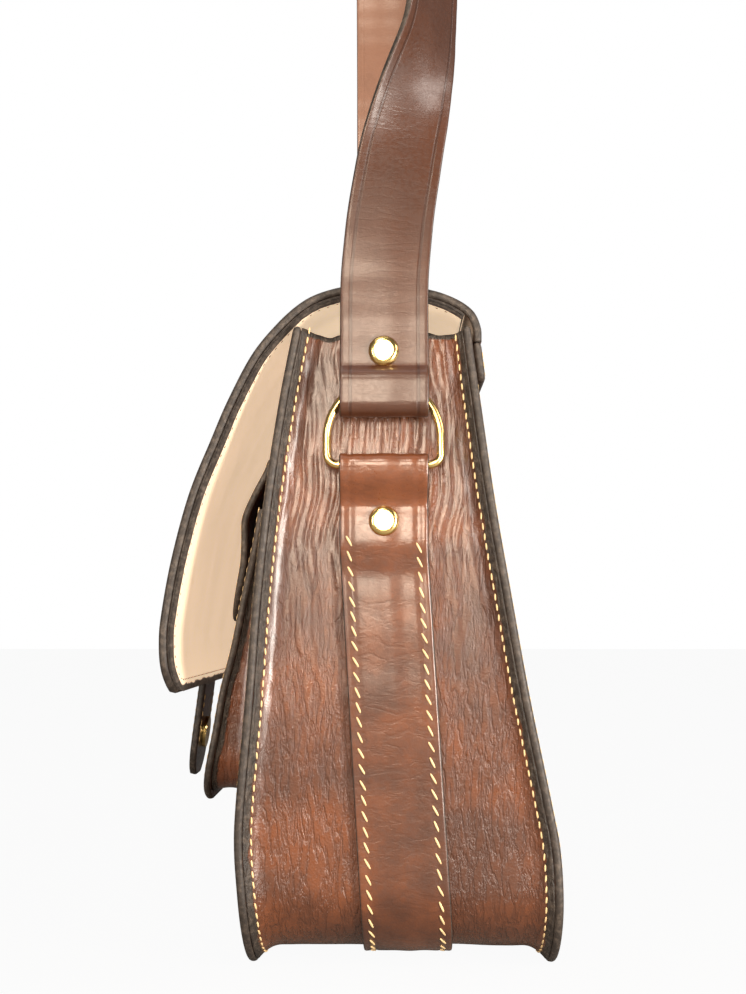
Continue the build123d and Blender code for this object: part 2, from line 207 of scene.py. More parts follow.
LID = [(185.4, 3.1), (181.0, 4.0), (172.0, 7.4), (163.0, 9.9), (155.0, 9.2), (146.0, 8.6), (136.0, 9.4),
       (124.0, 11.0)]


def profile(shape, sign):
    return smooth([(sign * a * MM, s * TOP) for s, a in shape], 200)


FRONT_LINE = profile(FRONT, -1)
BACK_LINE = profile(BACK, 1)


def across(line, z):
    return np.interp(z, line[:, 1], line[:, 0])


def front_y(z, out=0.0):
    return across(FRONT_LINE, z) - out


def back_y(z, out=0.0):
    return across(BACK_LINE, z) + out


def half_width(z, half=None, radius=CORNER, low=0.0):
    """Half the width of a plate with round bottom corners at a height."""
    half = HALF if half is None else half
    rise = np.clip(np.asarray(z, float) - low, 0, radius)
    return half - radius + np.sqrt(np.maximum(radius ** 2 - (radius - rise) ** 2, 0))


def ripple(*values):
    """Slow, repeatable waviness from a few sines, between about -1 and 1."""
    total = 0.0
    for k, v in enumerate(values):
        total = total + np.sin(v * (1.0 + 0.37 * k) + 1.7 * k) + 0.5 * np.sin(v * 2.3 + 0.9 * k)
    return total / (1.5 * len(values))


# Meshes

def new_object(name, verts, faces, marks=None):
    mesh = bpy.data.meshes.new(name)
    mesh.from_pydata([tuple(v) for v in verts], [], faces)
    mesh.validate()
    mesh.shade_smooth()
    for key, values in (marks or {}).items():
        layer = mesh.attributes.new(key, "FLOAT", "POINT")
        layer.data.foreach_set("value", np.asarray(values, np.float32))
    obj = bpy.data.objects.new(name, mesh)
    bpy.context.scene.collection.objects.link(obj)
    return obj


def shell(name, outer, inner, rim, uv, rim_cuts=2):
    """Closed sheet of leather from two grids of points. rim is the distance to the cut edge."""
    n, m = outer.shape[:2]
    verts = [outer.reshape(-1, 3), inner.reshape(-1, 3)]
    rims = [rim.ravel(), rim.ravel()]
    side = [np.ones(n * m), np.zeros(n * m)]
    uvs = [uv.reshape(-1, 2), uv.reshape(-1, 2)]
    faces = []

    def at(layer, i, j):
        return layer * n * m + i * m + j

    for i in range(n - 1):
        for j in range(m - 1):
            faces.append((at(0, i, j), at(0, i, j + 1), at(0, i + 1, j + 1), at(0, i + 1, j)))
            faces.append((at(1, i, j), at(1, i + 1, j), at(1, i + 1, j + 1), at(1, i, j + 1)))
    border = [(i, 0) for i in range(n)] + [(n - 1, j) for j in range(1, m)]
    border += [(i, m - 1) for i in range(n - 2, -1, -1)] + [(0, j) for j in range(m - 2, 0, -1)]
    count = len(border)
    rings = [[at(0, i, j) for i, j in border]]
    base = 2 * n * m
    for cut in range(1, rim_cuts + 1):
        t = cut / (rim_cuts + 1)
        ring = np.array([outer[i, j] * (1 - t) + inner[i, j] * t for i, j in border])
        verts.append(ring)
        rims.append(np.zeros(count))
        side.append(np.full(count, 0.5))
        uvs.append(np.array([uv[i, j] for i, j in border]))
        rings.append([base + k for k in range(count)])
        base += count
    rings.append([at(1, i, j) for i, j in border])
    for one, two in zip(rings, rings[1:]):
        for k in range(count):
            q = (k + 1) % count
            faces.append((one[k], one[q], two[q], two[k]))
    uv_all = np.concatenate(uvs)
    obj = new_object(name, np.concatenate(verts), faces,
                     {"rim": np.concatenate(rims), "grain_side": np.concatenate(side),
                      "along": uv_all[:, 0], "over": uv_all[:, 1]})
    face_outwards(obj)
    return obj


def face_outwards(obj):
    bm = bmesh.new()
    bm.from_mesh(obj.data)
    bmesh.ops.remove_doubles(bm, verts=bm.verts, dist=2e-6)
    bmesh.ops.recalc_face_normals(bm, faces=bm.faces)
    if bm.calc_volume(signed=True) < 0:
        bmesh.ops.reverse_faces(bm, faces=bm.faces)
    bm.to_mesh(obj.data)
    bm.free()
    obj.data.shade_smooth()


def round_rim(rim, radius):
    """How far a face drops near its cut edge so that the edge is rounded."""
    t = np.clip(1 - rim / radius, 0, 1)
    return radius * (1 - np.sqrt(np.maximum(1 - t ** 2, 0)))


def spaced(low, high, count, ends=0.0012):
    """Rows that are close together near both ends."""
    middle = np.linspace(low + ends * 2, high - ends * 2, count)
    return np.concatenate([[low, low + ends * 0.3, low + ends], middle, [high - ends, high - ends * 0.3, high]])


def plate(name, line_y, z_low, z_high, half, radius, thick, sign, rows=110, columns=120, puff=None):
    """Leather plate that follows a side profile. sign is the side that its outer face looks to."""
    zs = spaced(z_low, z_high, rows)
    us = spaced(-1.0, 1.0, columns, 0.008)
    z = np.repeat(zs[:, None], len(us), axis=1)
    width = half_width(z, half, radius, z_low)
    x = us[None, :] * width
    rise = z - z_low
    inside = np.minimum(width - np.abs(x), rise)
    cx = np.abs(x) - (half - radius)
    cz = radius - rise
    corner = radius - np.hypot(np.maximum(cx, 0), np.maximum(cz, 0))
    rim = np.where((cx > 0) & (cz > 0), corner, inside)
    rim = np.maximum(np.minimum(rim, z_high - z), 0)
    y = line_y(z)
    if puff is not None:
        y = y + sign * puff(x, z) * np.clip(rim / (6 * MM), 0, 1)
    drop = round_rim(rim, thick * 0.42)
    slope = np.gradient(line_y(zs), zs)[:, None]
    tilt = 1 / np.sqrt(1 + slope ** 2)
    outer_y = y - sign * drop * tilt
    inner_y = y - sign * (thick - drop) / tilt
    outer = np.stack([x, outer_y, z], axis=2)
    inner = np.stack([x, inner_y, z], axis=2)
    return shell(name, outer, inner, rim, np.stack([x, z], axis=2))


def ribbon(name, path, normals, centre_y, half, thick, turn=None, rows=25, bulge=None, edge=0.9 * MM):
    """Flat leather strip along a path in the XZ plane; it can be turned about its own path."""
    vs = np.concatenate([[-1.0, -0.985, -0.95], np.linspace(-0.9, 0.9, rows), [0.95, 0.985, 1.0]])
    n = len(path)
    run = lengths(path)
    turn = np.zeros(n) if turn is None else turn
    half = np.full(n, half) if np.isscalar(half) else half
    v = np.repeat(vs[None, :], n, axis=0)
    side_distance = half[:, None] * (1 - np.abs(v))
    end_distance = np.minimum(run, run[-1] - run)[:, None]
    rim = np.minimum(side_distance, end_distance)
    drop = round_rim(rim, edge)
    lift = np.zeros_like(v) if bulge is None else bulge(run[:, None], v * half[:, None])
    normal = np.stack([normals[:, 0], np.zeros(n), normals[:, 1]], axis=1)
    wide = np.tile(np.array([0.0, 1.0, 0.0]), (n, 1))
    c, s = np.cos(turn)[:, None], np.sin(turn)[:, None]
    normal2 = normal * c + wide * s
    wide2 = wide * c - normal * s
    middle = np.stack([path[:, 0], centre_y, path[:, 1]], axis=1)
    base = middle[:, None, :] + wide2[:, None, :] * (v * half[:, None])[:, :, None]
    up = (thick / 2 - drop + lift)[:, :, None]
    down = (thick / 2 - drop - lift)[:, :, None]
    outer = base + normal2[:, None, :] * up
    inner = base - normal2[:, None, :] * down
    uv = np.stack([np.repeat(run[:, None], len(vs), axis=1), v * half[:, None]], axis=2)
    return shell(name, outer, inner, rim, uv)


def finish_piece(obj, body, material, replaces=()):
    obj.data.materials.clear()
    obj.data.materials.append(material)
    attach(obj, body)
    if replaces:
        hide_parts(*replaces)
    return obj


# Shaders

def node_group(name, inputs, outputs):
    group = bpy.data.node_groups.new(name, "ShaderNodeTree")
    for label, kind, value in inputs:
        item = group.interface.new_socket(label, in_out="INPUT", socket_type=kind)
        if value is not None:
            item.default_value = value
    for label, kind in outputs:
        group.interface.new_socket(label, in_out="OUTPUT", socket_type=kind)
    return group, group.nodes.new("NodeGroupInput"), group.nodes.new("NodeGroupOutput")


def link(tree, a, b):
    tree.links.new(a, b)


def noise(tree, vector, scale, detail=4.0, rough=0.55, distort=0.0):
    node = tree.nodes.new("ShaderNodeTexNoise")
    node.inputs["Scale"].default_value = scale
    node.inputs["Detail"].default_value = detail
    node.inputs["Roughness"].default_value = rough
    node.inputs["Distortion"].default_value = distort
    link(tree, vector, node.inputs["Vector"])
    return node.outputs["Fac"]


def scaled(tree, vector, scale):
    node = tree.nodes.new("ShaderNodeMapping")
    node.inputs["Scale"].default_value = scale
    link(tree, vector, node.inputs["Vector"])
    return node.outputs["Vector"]


def math_node(tree, kind, a, b=None, clamp=False):
    node = tree.nodes.new("ShaderNodeMath")
    node.operation = kind
    node.use_clamp = clamp
    for socket, value in zip(node.inputs, (a, b)):
        if value is None:
            continue
        if isinstance(value, (int, float)):
            socket.default_value = value
        else:
            link(tree, value, socket)
    return node.outputs[0]


def times(tree, a, b):
    return math_node(tree, "MULTIPLY", a, b)


def plus(tree, a, b, clamp=False):
    return math_node(tree, "ADD", a, b, clamp)


def minus(tree, a, b):
    return math_node(tree, "SUBTRACT", a, b)


def span(tree, value, a, b, c=0.0, d=1.0, smooth_step=True):
    node = tree.nodes.new("ShaderNodeMapRange")
    node.interpolation_type = "SMOOTHSTEP" if smooth_step else "LINEAR"
    for label, number in (("From Min", a), ("From Max", b), ("To Min", c), ("To Max", d)):
        node.inputs[label].default_value = number
    link(tree, value, node.inputs["Value"])
    return node.outputs["Result"]


def mix_colour(tree, factor, a, b, kind="MIX"):
    node = tree.nodes.new("ShaderNodeMix")
    node.data_type = "RGBA"
    node.blend_type = kind
    for socket, value in ((node.inputs[0], factor), (node.inputs[6], a), (node.inputs[7], b)):
        if isinstance(value, (int, float)):
            socket.default_value = value
        elif isinstance(value, (tuple, list)):
            socket.default_value = value
        else:
            link(tree, value, socket)
    return node.outputs[2]


def attribute(tree, name):
    node = tree.nodes.new("ShaderNodeAttribute")
    node.attribute_name = name
    return node.outputs["Fac"]


def object_coordinates(tree):
    return tree.nodes.new("ShaderNodeTexCoord").outputs["Object"]


def make_grain_group():
    """Leather grain: pores, creases with painted shade darkening them, and slow tone changes."""
    group, start, end = node_group(
        "leather_grain",
        [("Vector", "NodeSocketVector", None), ("Stretch", "NodeSocketVector", (1.0, 1.0, 1.0)),
         ("Base", "NodeSocketColor", (0.3, 0.1, 0.05, 1)), ("Dark", "NodeSocketColor", (0.1, 0.04, 0.02, 1)),
         ("Mottle", "NodeSocketFloat", 0.5), ("Crease", "NodeSocketFloat", 0.5)],
        [("Color", "NodeSocketColor"), ("Roughness", "NodeSocketFloat"), ("Height", "NodeSocketFloat")])
    vector = start.outputs["Vector"]
    stretched = group.nodes.new("ShaderNodeVectorMath")
    stretched.operation = "MULTIPLY"
    link(group, vector, stretched.inputs[0])
    link(group, start.outputs["Stretch"], stretched.inputs[1])
    cells = group.nodes.new("ShaderNodeTexVoronoi")
    cells.feature = "F1"
    cells.inputs["Scale"].default_value = 1150.0
    link(group, vector, cells.inputs["Vector"])
    fine = noise(group, vector, 700.0, 5.0, 0.6)
    crease = noise(group, stretched.outputs[0], 120.0, 5.0, 0.55, 0.35)
    ridge = math_node(group, "ABSOLUTE", minus(group, crease, 0.5))
    lines = span(group, ridge, 0.0, 0.085, 0.0, 1.0)
    slow = noise(group, vector, 26.0, 4.0, 0.6)
    tone = span(group, slow, 0.36, 0.68)
    weight = times(group, tone, start.outputs["Mottle"])
    colour = mix_colour(group, weight, start.outputs["Base"], start.outputs["Dark"])
    # Painted shade: the Dark colour is mixed in along the crease lines.
    crease_shade = times(group, minus(group, 1.0, lines), start.outputs["Crease"])
    colour = mix_colour(group, times(group, crease_shade, 0.3), colour, start.outputs["Dark"])
    fleck = span(group, fine, 0.35, 0.75, 0.0, 0.22)
    colour = mix_colour(group, fleck, colour, start.outputs["Dark"])
    link(group, colour, end.inputs["Color"])
    rough = plus(group, span(group, fine, 0.3, 0.7, 0.30, 0.46), times(group, tone, 0.07))
    link(group, rough, end.inputs["Roughness"])
    pores = times(group, cells.outputs["Distance"], 0.22)
    height = plus(group, pores, times(group, fine, 0.25))
    folds = times(group, lines, start.outputs["Crease"])
    link(group, plus(group, height, folds), end.inputs["Height"])
    return group


def make_edge_group():
    """Painted raw edge with a ragged bleed onto both faces."""
    group, start, end = node_group(
        "edge_paint",
        [("Vector", "NodeSocketVector", None), ("Rim", "NodeSocketFloat", 1.0), ("Reach", "NodeSocketFloat", 0.001),
         ("Paint", "NodeSocketColor", (0.05, 0.04, 0.03, 1))],
        [("Factor", "NodeSocketFloat"), ("Color", "NodeSocketColor"), ("Height", "NodeSocketFloat")])
    rough = noise(group, start.outputs["Vector"], 420.0, 6.0, 0.7)
    wander = noise(group, start.outputs["Vector"], 110.0, 3.0, 0.5)
    ragged = plus(group, times(group, rough, 0.9), times(group, wander, 1.1))
    limit = times(group, start.outputs["Reach"], ragged)
    depth = math_node(group, "DIVIDE", start.outputs["Rim"], math_node(group, "MAXIMUM", limit, 0.00001))
    link(group, span(group, depth, 0.85, 1.15, 1.0, 0.0), end.inputs["Factor"])
    pale = mix_colour(group, span(group, rough, 0.42, 0.72, 0.0, 0.6), start.outputs["Paint"], (0.13, 0.10, 0.078, 1))
    link(group, pale, end.inputs["Color"])
    link(group, times(group, rough, 1.2), end.inputs["Height"])
    return group


GROUPS = {}


def rgba(colour):
    return (*colour, 1.0)


def place_group(tree, name):
    node = tree.nodes.new("ShaderNodeGroup")
    node.node_tree = GROUPS[name]
    return node


def new_material(name):
    material = bpy.data.materials.new(name)
    material.use_nodes = True
    return material, material.node_tree, material.node_tree.nodes["Principled BSDF"]


def painted_edge(tree, place, reach):
    """The edge paint, reaching this far from a cut edge."""
    edge = place_group(tree, "edge_paint")
    edge.inputs["Reach"].default_value = reach
    edge.inputs["Paint"].default_value = rgba(colours().paint)
    link(tree, place, edge.inputs["Vector"])
    link(tree, attribute(tree, "rim"), edge.inputs["Rim"])
    return edge


def add_bump(tree, shader, height, strength, distance):
    bumps = tree.nodes.new("ShaderNodeBump")
    bumps.inputs["Strength"].default_value = strength
    bumps.inputs["Distance"].default_value = distance
    link(tree, height, bumps.inputs["Height"])
    link(tree, bumps.outputs["Normal"], shader.inputs["Normal"])


def leather(name, base, stretch=(1, 1, 1), mottle=0.5, crease=0.5, coat=0.45, reach=0.7 * MM, bump=0.35,
            back=None, gloss=0.0, lines=None, depth=0.25 * MM):
    """Leather with a grain face, a painted cut edge and, where back is given, a flesh side."""
    material, tree, shader = new_material(name)
    place = object_coordinates(tree)
    grain = place_group(tree, "leather_grain")
    grain.inputs["Stretch"].default_value = stretch
    grain.inputs["Base"].default_value = rgba(base)
    grain.inputs["Dark"].default_value = rgba(colours().dark)
    grain.inputs["Mottle"].default_value = mottle
    grain.inputs["Crease"].default_value = crease
    link(tree, place, grain.inputs["Vector"])
    edge = painted_edge(tree, place, reach)
    colour = grain.outputs["Color"]
    rough = grain.outputs["Roughness"]
    height = grain.outputs["Height"]
    if gloss:
        rough = minus(tree, rough, gloss)
    if lines is not None:
        colour, height = lines(tree, colour, height)
    if back is not None:
        fuzz = noise(tree, place, 520.0, 6.0, 0.7)
        slow = noise(tree, place, 60.0, 4.0, 0.6)
        worn = mix_colour(tree, span(tree, slow, 0.4, 0.75, 0.0, 0.3), rgba(back), rgba([c * 0.62 for c in back]))
        worn = mix_colour(tree, span(tree, fuzz, 0.4, 0.75, 0.0, 0.3), worn, rgba([min(1, c * 1.2) for c in back]))
        flesh = span(tree, attribute(tree, "grain_side"), 0.2, 0.4, 1.0, 0.0)
        colour = mix_colour(tree, flesh, colour, worn)
        rough = plus(tree, rough, times(tree, flesh, 0.45), clamp=True)
    colour = mix_colour(tree, edge.outputs["Factor"], colour, edge.outputs["Color"])
    rough = plus(tree, rough, times(tree, edge.outputs["Factor"], 0.16), clamp=True)
    edge_height = times(tree, edge.outputs["Height"], edge.outputs["Factor"])
    height = plus(tree, height, edge_height)
    link(tree, colour, shader.inputs["Base Color"])
    link(tree, rough, shader.inputs["Roughness"])
    coating = times(tree, minus(tree, 1.0, edge.outputs["Factor"]), coat)
    link(tree, coating, shader.inputs["Coat Weight"])
    shader.inputs["Coat Roughness"].default_value = COAT_ROUGHNESS
    add_bump(tree, shader, height, bump, depth)
    return material


def suede(name):
    material, tree, shader = new_material(name)
    place = object_coordinates(tree)
    edge = painted_edge(tree, place, SUEDE_BLEED)
    fuzz = noise(tree, place, 600.0, 7.0, 0.75)
    slow = noise(tree, scaled(tree, place, (1.0, 1.0, 0.4)), 42.0, 5.0, 0.65, 0.6)
    base = colours().suede
    colour = mix_colour(tree, span(tree, slow, 0.38, 0.72, 0.0, 0.5), rgba(base), rgba([c * 0.8 for c in base]))
    colour = mix_colour(tree, span(tree, fuzz, 0.45, 0.8, 0.0, 0.35), colour, (0.40, 0.25, 0.15, 1))
    colour = mix_colour(tree, edge.outputs["Factor"], colour, edge.outputs["Color"])
    link(tree, colour, shader.inputs["Base Color"])
    shader.inputs["Roughness"].default_value = 0.95
    # Painted light: the suede glows in its own colour to stand in for fill light on the flap underside.
    link(tree, colour, shader.inputs["Emission Color"])
    shader.inputs["Emission Strength"].default_value = SUEDE_PAINTED_LIGHT
    add_bump(tree, shader, fuzz, 0.5, 0.3 * MM)
    return material


def plain(name, colour, rough, metallic=0.0, grime=0.0):
    material, tree, shader = new_material(name)
    place = object_coordinates(tree)
    spots = noise(tree, place, 300.0, 4.0, 0.6)
    tint = mix_colour(tree, span(tree, spots, 0.4, 0.8, 0.0, grime), rgba(colour), rgba([c * 0.45 for c in colour]))
    link(tree, tint, shader.inputs["Base Color"])
    shader.inputs["Metallic"].default_value = metallic
    link(tree, span(tree, spots, 0.3, 0.8, rough, rough + 0.12), shader.inputs["Roughness"])
    return material


MATERIALS = {}


def strap_lines(tree, colour, height):
    """Two tooled lines near the sides of the strap."""
    over = math_node(tree, "ABSOLUTE", attribute(tree, "over"))
    away = math_node(tree, "ABSOLUTE", minus(tree, over, TOOLED_LINE))
    groove = span(tree, away, 0.25 * MM, 0.8 * MM, 1.0, 0.0)
    colour = mix_colour(tree, times(tree, groove, 0.7), colour, rgba(colours().dark))
    return colour, minus(tree, height, times(tree, groove, 1.6))


class BAG_OT_materials(bpy.types.Operator):
    """Make the leather, suede, thread and brass materials"""
    bl_idname = "bag.materials"
    bl_label = "Materials"

    def execute(self, context):
        GROUPS["leather_grain"] = make_grain_group()
        GROUPS["edge_paint"] = make_edge_group()
        tone = colours()
        MATERIALS["panel"] = leather("panel_leather", tone.leather, mottle=0.6, crease=0.35, reach=1.1 * MM)
        MATERIALS["gusset"] = leather("gusset_leather", tone.gusset, stretch=(1.0, 2.6, 0.6), mottle=0.7,
                                      crease=0.75, coat=0.5, bump=0.8, gloss=0.07, reach=2.3 * MM, depth=0.45 * MM)
        MATERIALS["strip"] = leather("strip_leather", tone.gusset, stretch=(1.0, 0.6, 1.5), mottle=0.75,
                                     crease=0.5, coat=0.6, bump=0.4, gloss=0.04, reach=0.35 * MM)
        MATERIALS["strap"] = leather("strap_leather", tone.strap, stretch=(1.0, 0.45, 2.2), mottle=0.45,
                                     crease=0.45, coat=0.35, reach=0.25 * MM, back=tone.flesh, lines=strap_lines)
        MATERIALS["suede"] = suede("lining_suede")
        MATERIALS["thread"] = plain("thread", tone.thread, 0.6, grime=0.5)
        MATERIALS["brass"] = plain("polished_brass", tone.brass, 0.16, 1.0, grime=0.35)
        # Painted shade: the needle holes on the lining are dark marks standing in for the shade inside them.
        MATERIALS["hole"] = plain("needle_hole", (0.12, 0.07, 0.045), 0.9)
        return {"FINISHED"}


# Pieces

def panel_puff(x, z):
    return (0.9 * ripple(x * 38, z * 44) + 0.35 * ripple(x * 90 + z * 50)) * MM


class BAG_OT_panels(bpy.types.Operator):
    """Front and back panels with painted cut edges"""
    bl_idname = "bag.panels"
    bl_label = "Panels"

    def execute(self, context):
        thick = sizes().panel_thick
        for name, line, sign in (("front_panel", front_y, -1), ("back_panel", back_y, 1)):
            piece = plate(name + "_leather", line, 0.0, TOP, HALF, CORNER, thick, sign,
                          puff=panel_puff if sign > 0 else None)
            finish_piece(piece, "bag", MATERIALS["panel"], [name])
        seam_low, seam_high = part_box("flap_seam")
        seam = plate("flap_seam_leather", lambda z: back_y(z, FLAP_SEAM_OUT), seam_low.z, seam_high.z, FLAP_HALF,
                     4 * MM, thick, 1, rows=16)
        finish_piece(seam, "bag", MATERIALS["panel"], ["flap_seam"])
        return {"FINISHED"}


def u_outline(half, radius, low, high, side_count, arc_count, base_count):
    """(x, z) down the left side, round the bottom corners and up the right side."""
    points = [(-half, z) for z in np.linspace(high, low + radius, side_count)]
    points += [(-half + radius - radius * math.cos(a), low + radius - radius * math.sin(a))
               for a in np.linspace(0, math.pi / 2, arc_count)[1:]]
    points += [(x, low) for x in np.linspace(-half + radius, 0, base_count)[1:]]
    return points + [(-x, z) for x, z in points[-2::-1]]


def u_path(inset, count=420, top=TOP):
    """Side, base and side of the bag at an inset, as (x, z), from the left top to the right top."""
    return resample(np.array(u_outline(HALF - inset, CORNER - inset, inset, top, 60, 24, 30)), count)


def gusset_sink(distance):
    """How deep the gusset lies below the panel edge, by distance from the panel."""
    t = np.clip(distance / (9 * MM), 0, 1)
    return 0.9 * MM + (sizes().gusset_inset - 0.9 * MM) * (1 - (1 - t) ** 2.2)


def gusset_grid(extra=0.0, rows=80, count=400):
    """Points of the gusset face, sunk between the panels, with its wrinkles."""
    base = u_path(0.0, count)
    out = -sides(base)
    thick = sizes().panel_thick
    v = np.concatenate([np.linspace(0, 0.12, 16, endpoint=False), np.linspace(0.12, 0.88, rows),
                        np.linspace(0.88, 1, 17)[1:]])
    front = front_y(base[:, 1], -thick - SEAM_GAP)
    back = back_y(base[:, 1], -thick - SEAM_GAP)
    y = front[:, None] + (back - front)[:, None] * v[None, :]
    distance = np.minimum(y - front[:, None], back[:, None] - y)
    sink = gusset_sink(distance)
    z = np.repeat(base[:, 1:2], len(v), axis=1)
    run = np.linspace(0, 1, count)[:, None] * 0.69
    inner = np.clip(distance / (12 * MM), 0, 1)
    high = np.clip((z - 55 * MM) / (40 * MM), 0, 1)
    folds = ripple(y * 900 + ripple(z * 60) * 3.0, y * 1500 + ripple(z * 85 + 1.3) * 4.0)
    folds = folds * (0.5 + 0.5 * ripple(z * 70 + y * 120, y * 260))
    soft = ripple(z * 34 + 0.6, y * 95) * 0.9
    sink = sink - (folds * sizes().wrinkle * high * inner + soft * MM * inner)
    point = base[:, None, :] - out[:, None, :] * (sink + extra)[:, :, None]
    grid = np.stack([point[:, :, 0], y, point[:, :, 1]], axis=2)
    rim = np.minimum(distance, np.repeat((TOP - base[:, 1])[:, None], len(v), axis=1))
    return grid, rim, run, y


class BAG_OT_gusset(bpy.types.Operator):
    """Wrinkled gusset between the panels"""
    bl_idname = "bag.gusset"
    bl_label = "Gusset"

    def execute(self, context):
        grid, rim, run, y = gusset_grid()
        inner, _, _, _ = gusset_grid(2.0 * MM)
        ragged = 1.2 * MM * ripple(y * 420, y * 190)
        sag = 1.6 * MM * np.sin(math.pi * np.clip(y / 0.05 + 0.6, 0, 1))
        for layer in (grid, inner):
            near_top = np.clip((layer[:, :, 2] - (TOP - 12 * MM)) / (12 * MM), 0, 1)
            layer[:, :, 2] -= near_top * (1.4 * MM + ragged + sag)
        uv = np.stack([np.repeat(run, y.shape[1], axis=1), y], axis=2)
        piece = shell("gusset_leather_wall", grid, inner, rim, uv)
        finish_piece(piece, "bag", MATERIALS["gusset"], ["gusset"])
        return {"FINISHED"}


def strip_middle(z):
    """Middle line of the strip by height: it leans towards the front at the top."""
    return np.interp(z, [0, 150 * MM], [4 * MM, -5 * MM])


STRIP_X = HALF - STRIP_INSET


def strip_path():
    """(x, z) of the middle of the strip: tail, round the bar, down, under the base and up the other end."""
    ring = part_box("d_ring_right")
    bar_x = (ring[0].x + ring[1].x) / 2
    bar_z = ring[0].z + 1.5 * MM
    hold = 2.95 * MM
    out_x = STRIP_X + 2.15 * MM
    down = [(out_x, 0.160), (out_x, 0.152), (STRIP_X + 0.9 * MM, 0.146), (STRIP_X, 0.141), (STRIP_X, 0.132)]
    end = [(STRIP_X, 0.154), (STRIP_X, 0.162), (STRIP_X + 0.2 * MM, 0.168), (bar_x - hold - 0.3 * MM, 0.175)]
    end += [(bar_x + hold * math.cos(a), bar_z + hold * math.sin(a)) for a in np.radians(np.arange(180, -16, -15))]
    end += [(bar_x + hold - 1.3 * MM, 0.1745), (out_x, 0.167)] + down
    base = [tuple(p) for p in u_path(STRIP_INSET, 160, 0.125)]
    left = [(-x, z) for x, z in end]
    return smooth(left + base + end[::-1], 900)


class BAG_OT_strip(bpy.types.Operator):
    """Strip down the middle of the gusset with its folded ends"""
    bl_idname = "bag.strip"
    bl_label = "Gusset strip"

    def execute(self, context):
        path = strip_path()
        normals = -sides(path)

        def bulge(run, across_):
            edge_dip = 0.25 * MM * np.exp(-((np.abs(across_) - 12.3 * MM) / (1.1 * MM)) ** 2)
            return 0.28 * MM * ripple(run * 130, across_ * 300) - edge_dip

        piece = ribbon("gusset_strip_leather", path, normals, strip_middle(path[:, 1]), BAND_HALF, STRIP_THICK,
                       bulge=bulge, rows=33, edge=0.7 * MM)
        finish_piece(piece, "bag", MATERIALS["strip"], ["gusset_strip"])
        return {"FINISHED"}


def beside(x, line, left, depth):
    """Grid of points at a depth beside a line in the YZ plane."""
    return np.stack([x, line[:, :1] + left[:, :1] * depth, line[:, 1:] + left[:, 1:] * depth], axis=2)


def flap_line():
    return smooth([(a * MM, TOP + b * MM) for a, b in FLAP], 240)


def flap_shell(name, near, far, first, columns=150):
    """Layer of the flap between two depths below its outer face."""
    line = flap_line()[first:]
    left = sides(line)
    run = lengths(line)
    us = spaced(-1.0, 1.0, columns, 0.008)
    from_low = run[-1] - run
    width = half_width(from_low, FLAP_HALF, FLAP_CORNER)
    x = us[None, :] * width[:, None]
    rim = np.minimum(width[:, None] - np.abs(x), np.repeat(from_low[:, None], len(us), axis=1))
    rim = np.maximum(rim, 0)
    drop = round_rim(rim, 1.1 * MM)
    belly = 0.5 * MM * ripple(x * 36, np.repeat(run[:, None] * 40, len(us), axis=1)) * np.clip(rim / (14 * MM), 0, 1)
    outer_depth = near + drop - belly
    inner_depth = far - drop - belly
    outer, inner = beside(x, line, left, outer_depth), beside(x, line, left, inner_depth)
    uv = np.stack([x, np.repeat(run[:, None], len(us), axis=1)], axis=2)
    return shell(name, outer, inner, rim, uv)


class BAG_OT_flap(bpy.types.Operator):
    """Flap: leather, suede lining and closing tongue"""
    bl_idname = "bag.flap"
    bl_label = "Flap"

    def execute(self, context):
        outer = flap_shell("flap_outer_leather", 0.0, FLAP_THICK, 0)
        finish_piece(outer, "flap", MATERIALS["panel"], ["flap_leather"])
        lining = flap_shell("flap_suede_lining", LINING_START, LINING_END, 14)
        finish_piece(lining, "flap", MATERIALS["suede"], ["flap_lining"])
        path, normals = tongue_path()
        tongue = side_ribbon("closing_tongue_leather", path, normals, TONGUE_HALF, TONGUE_THICK)
        finish_piece(tongue, "flap", MATERIALS["panel"], ["closure_tongue"])
        return {"FINISHED"}


def tongue_path():
    line = flap_line()
    low = line[-1]
    laid = [tuple(p) for p in line if low[1] + 5 * MM < p[1] < low[1] + 26 * MM and p[0] < low[0] / 2][::4]
    start = laid[-1]
    drop = start[1] - low[1] + 43 * MM
    free = [(start[0] - 6 * MM * s, start[1] - drop * s) for s in (0.15, 0.4, 0.6, 0.8, 1.0)]
    path = smooth(laid + free, 90)
    return path, sides(path)


def side_ribbon(name, path, left, half, thick):
    """Tongue that follows a path in the YZ plane, with a round end."""
    us = spaced(-1.0, 1.0, 30, 0.03)
    run = lengths(path)
    width = half_width(run[-1] - run, half, half - 2 * MM)
    x = us[None, :] * width[:, None]
    rim = np.minimum(width[:, None] - np.abs(x), np.minimum(run, run[-1] - run)[:, None])
    rim = np.maximum(rim, 0)
    drop = round_rim(rim, 1.1 * MM)
    near = -SEAM_GAP - drop
    far = -SEAM_GAP - thick + drop
    outer, inner = beside(x, path, left, far), beside(x, path, left, near)
    uv = np.stack([x, np.repeat(run[:, None], len(us), axis=1)], axis=2)
    return shell(name, outer, inner, rim, uv)


def out_of_front(shape):
    """Distance from the front panel by height, as a function."""
    line = smooth([(z * MM, out * MM) for z, out in reversed(shape)], 120)

    def distance(z):
        return np.interp(z, line[:, 0], line[:, 1])
    return distance


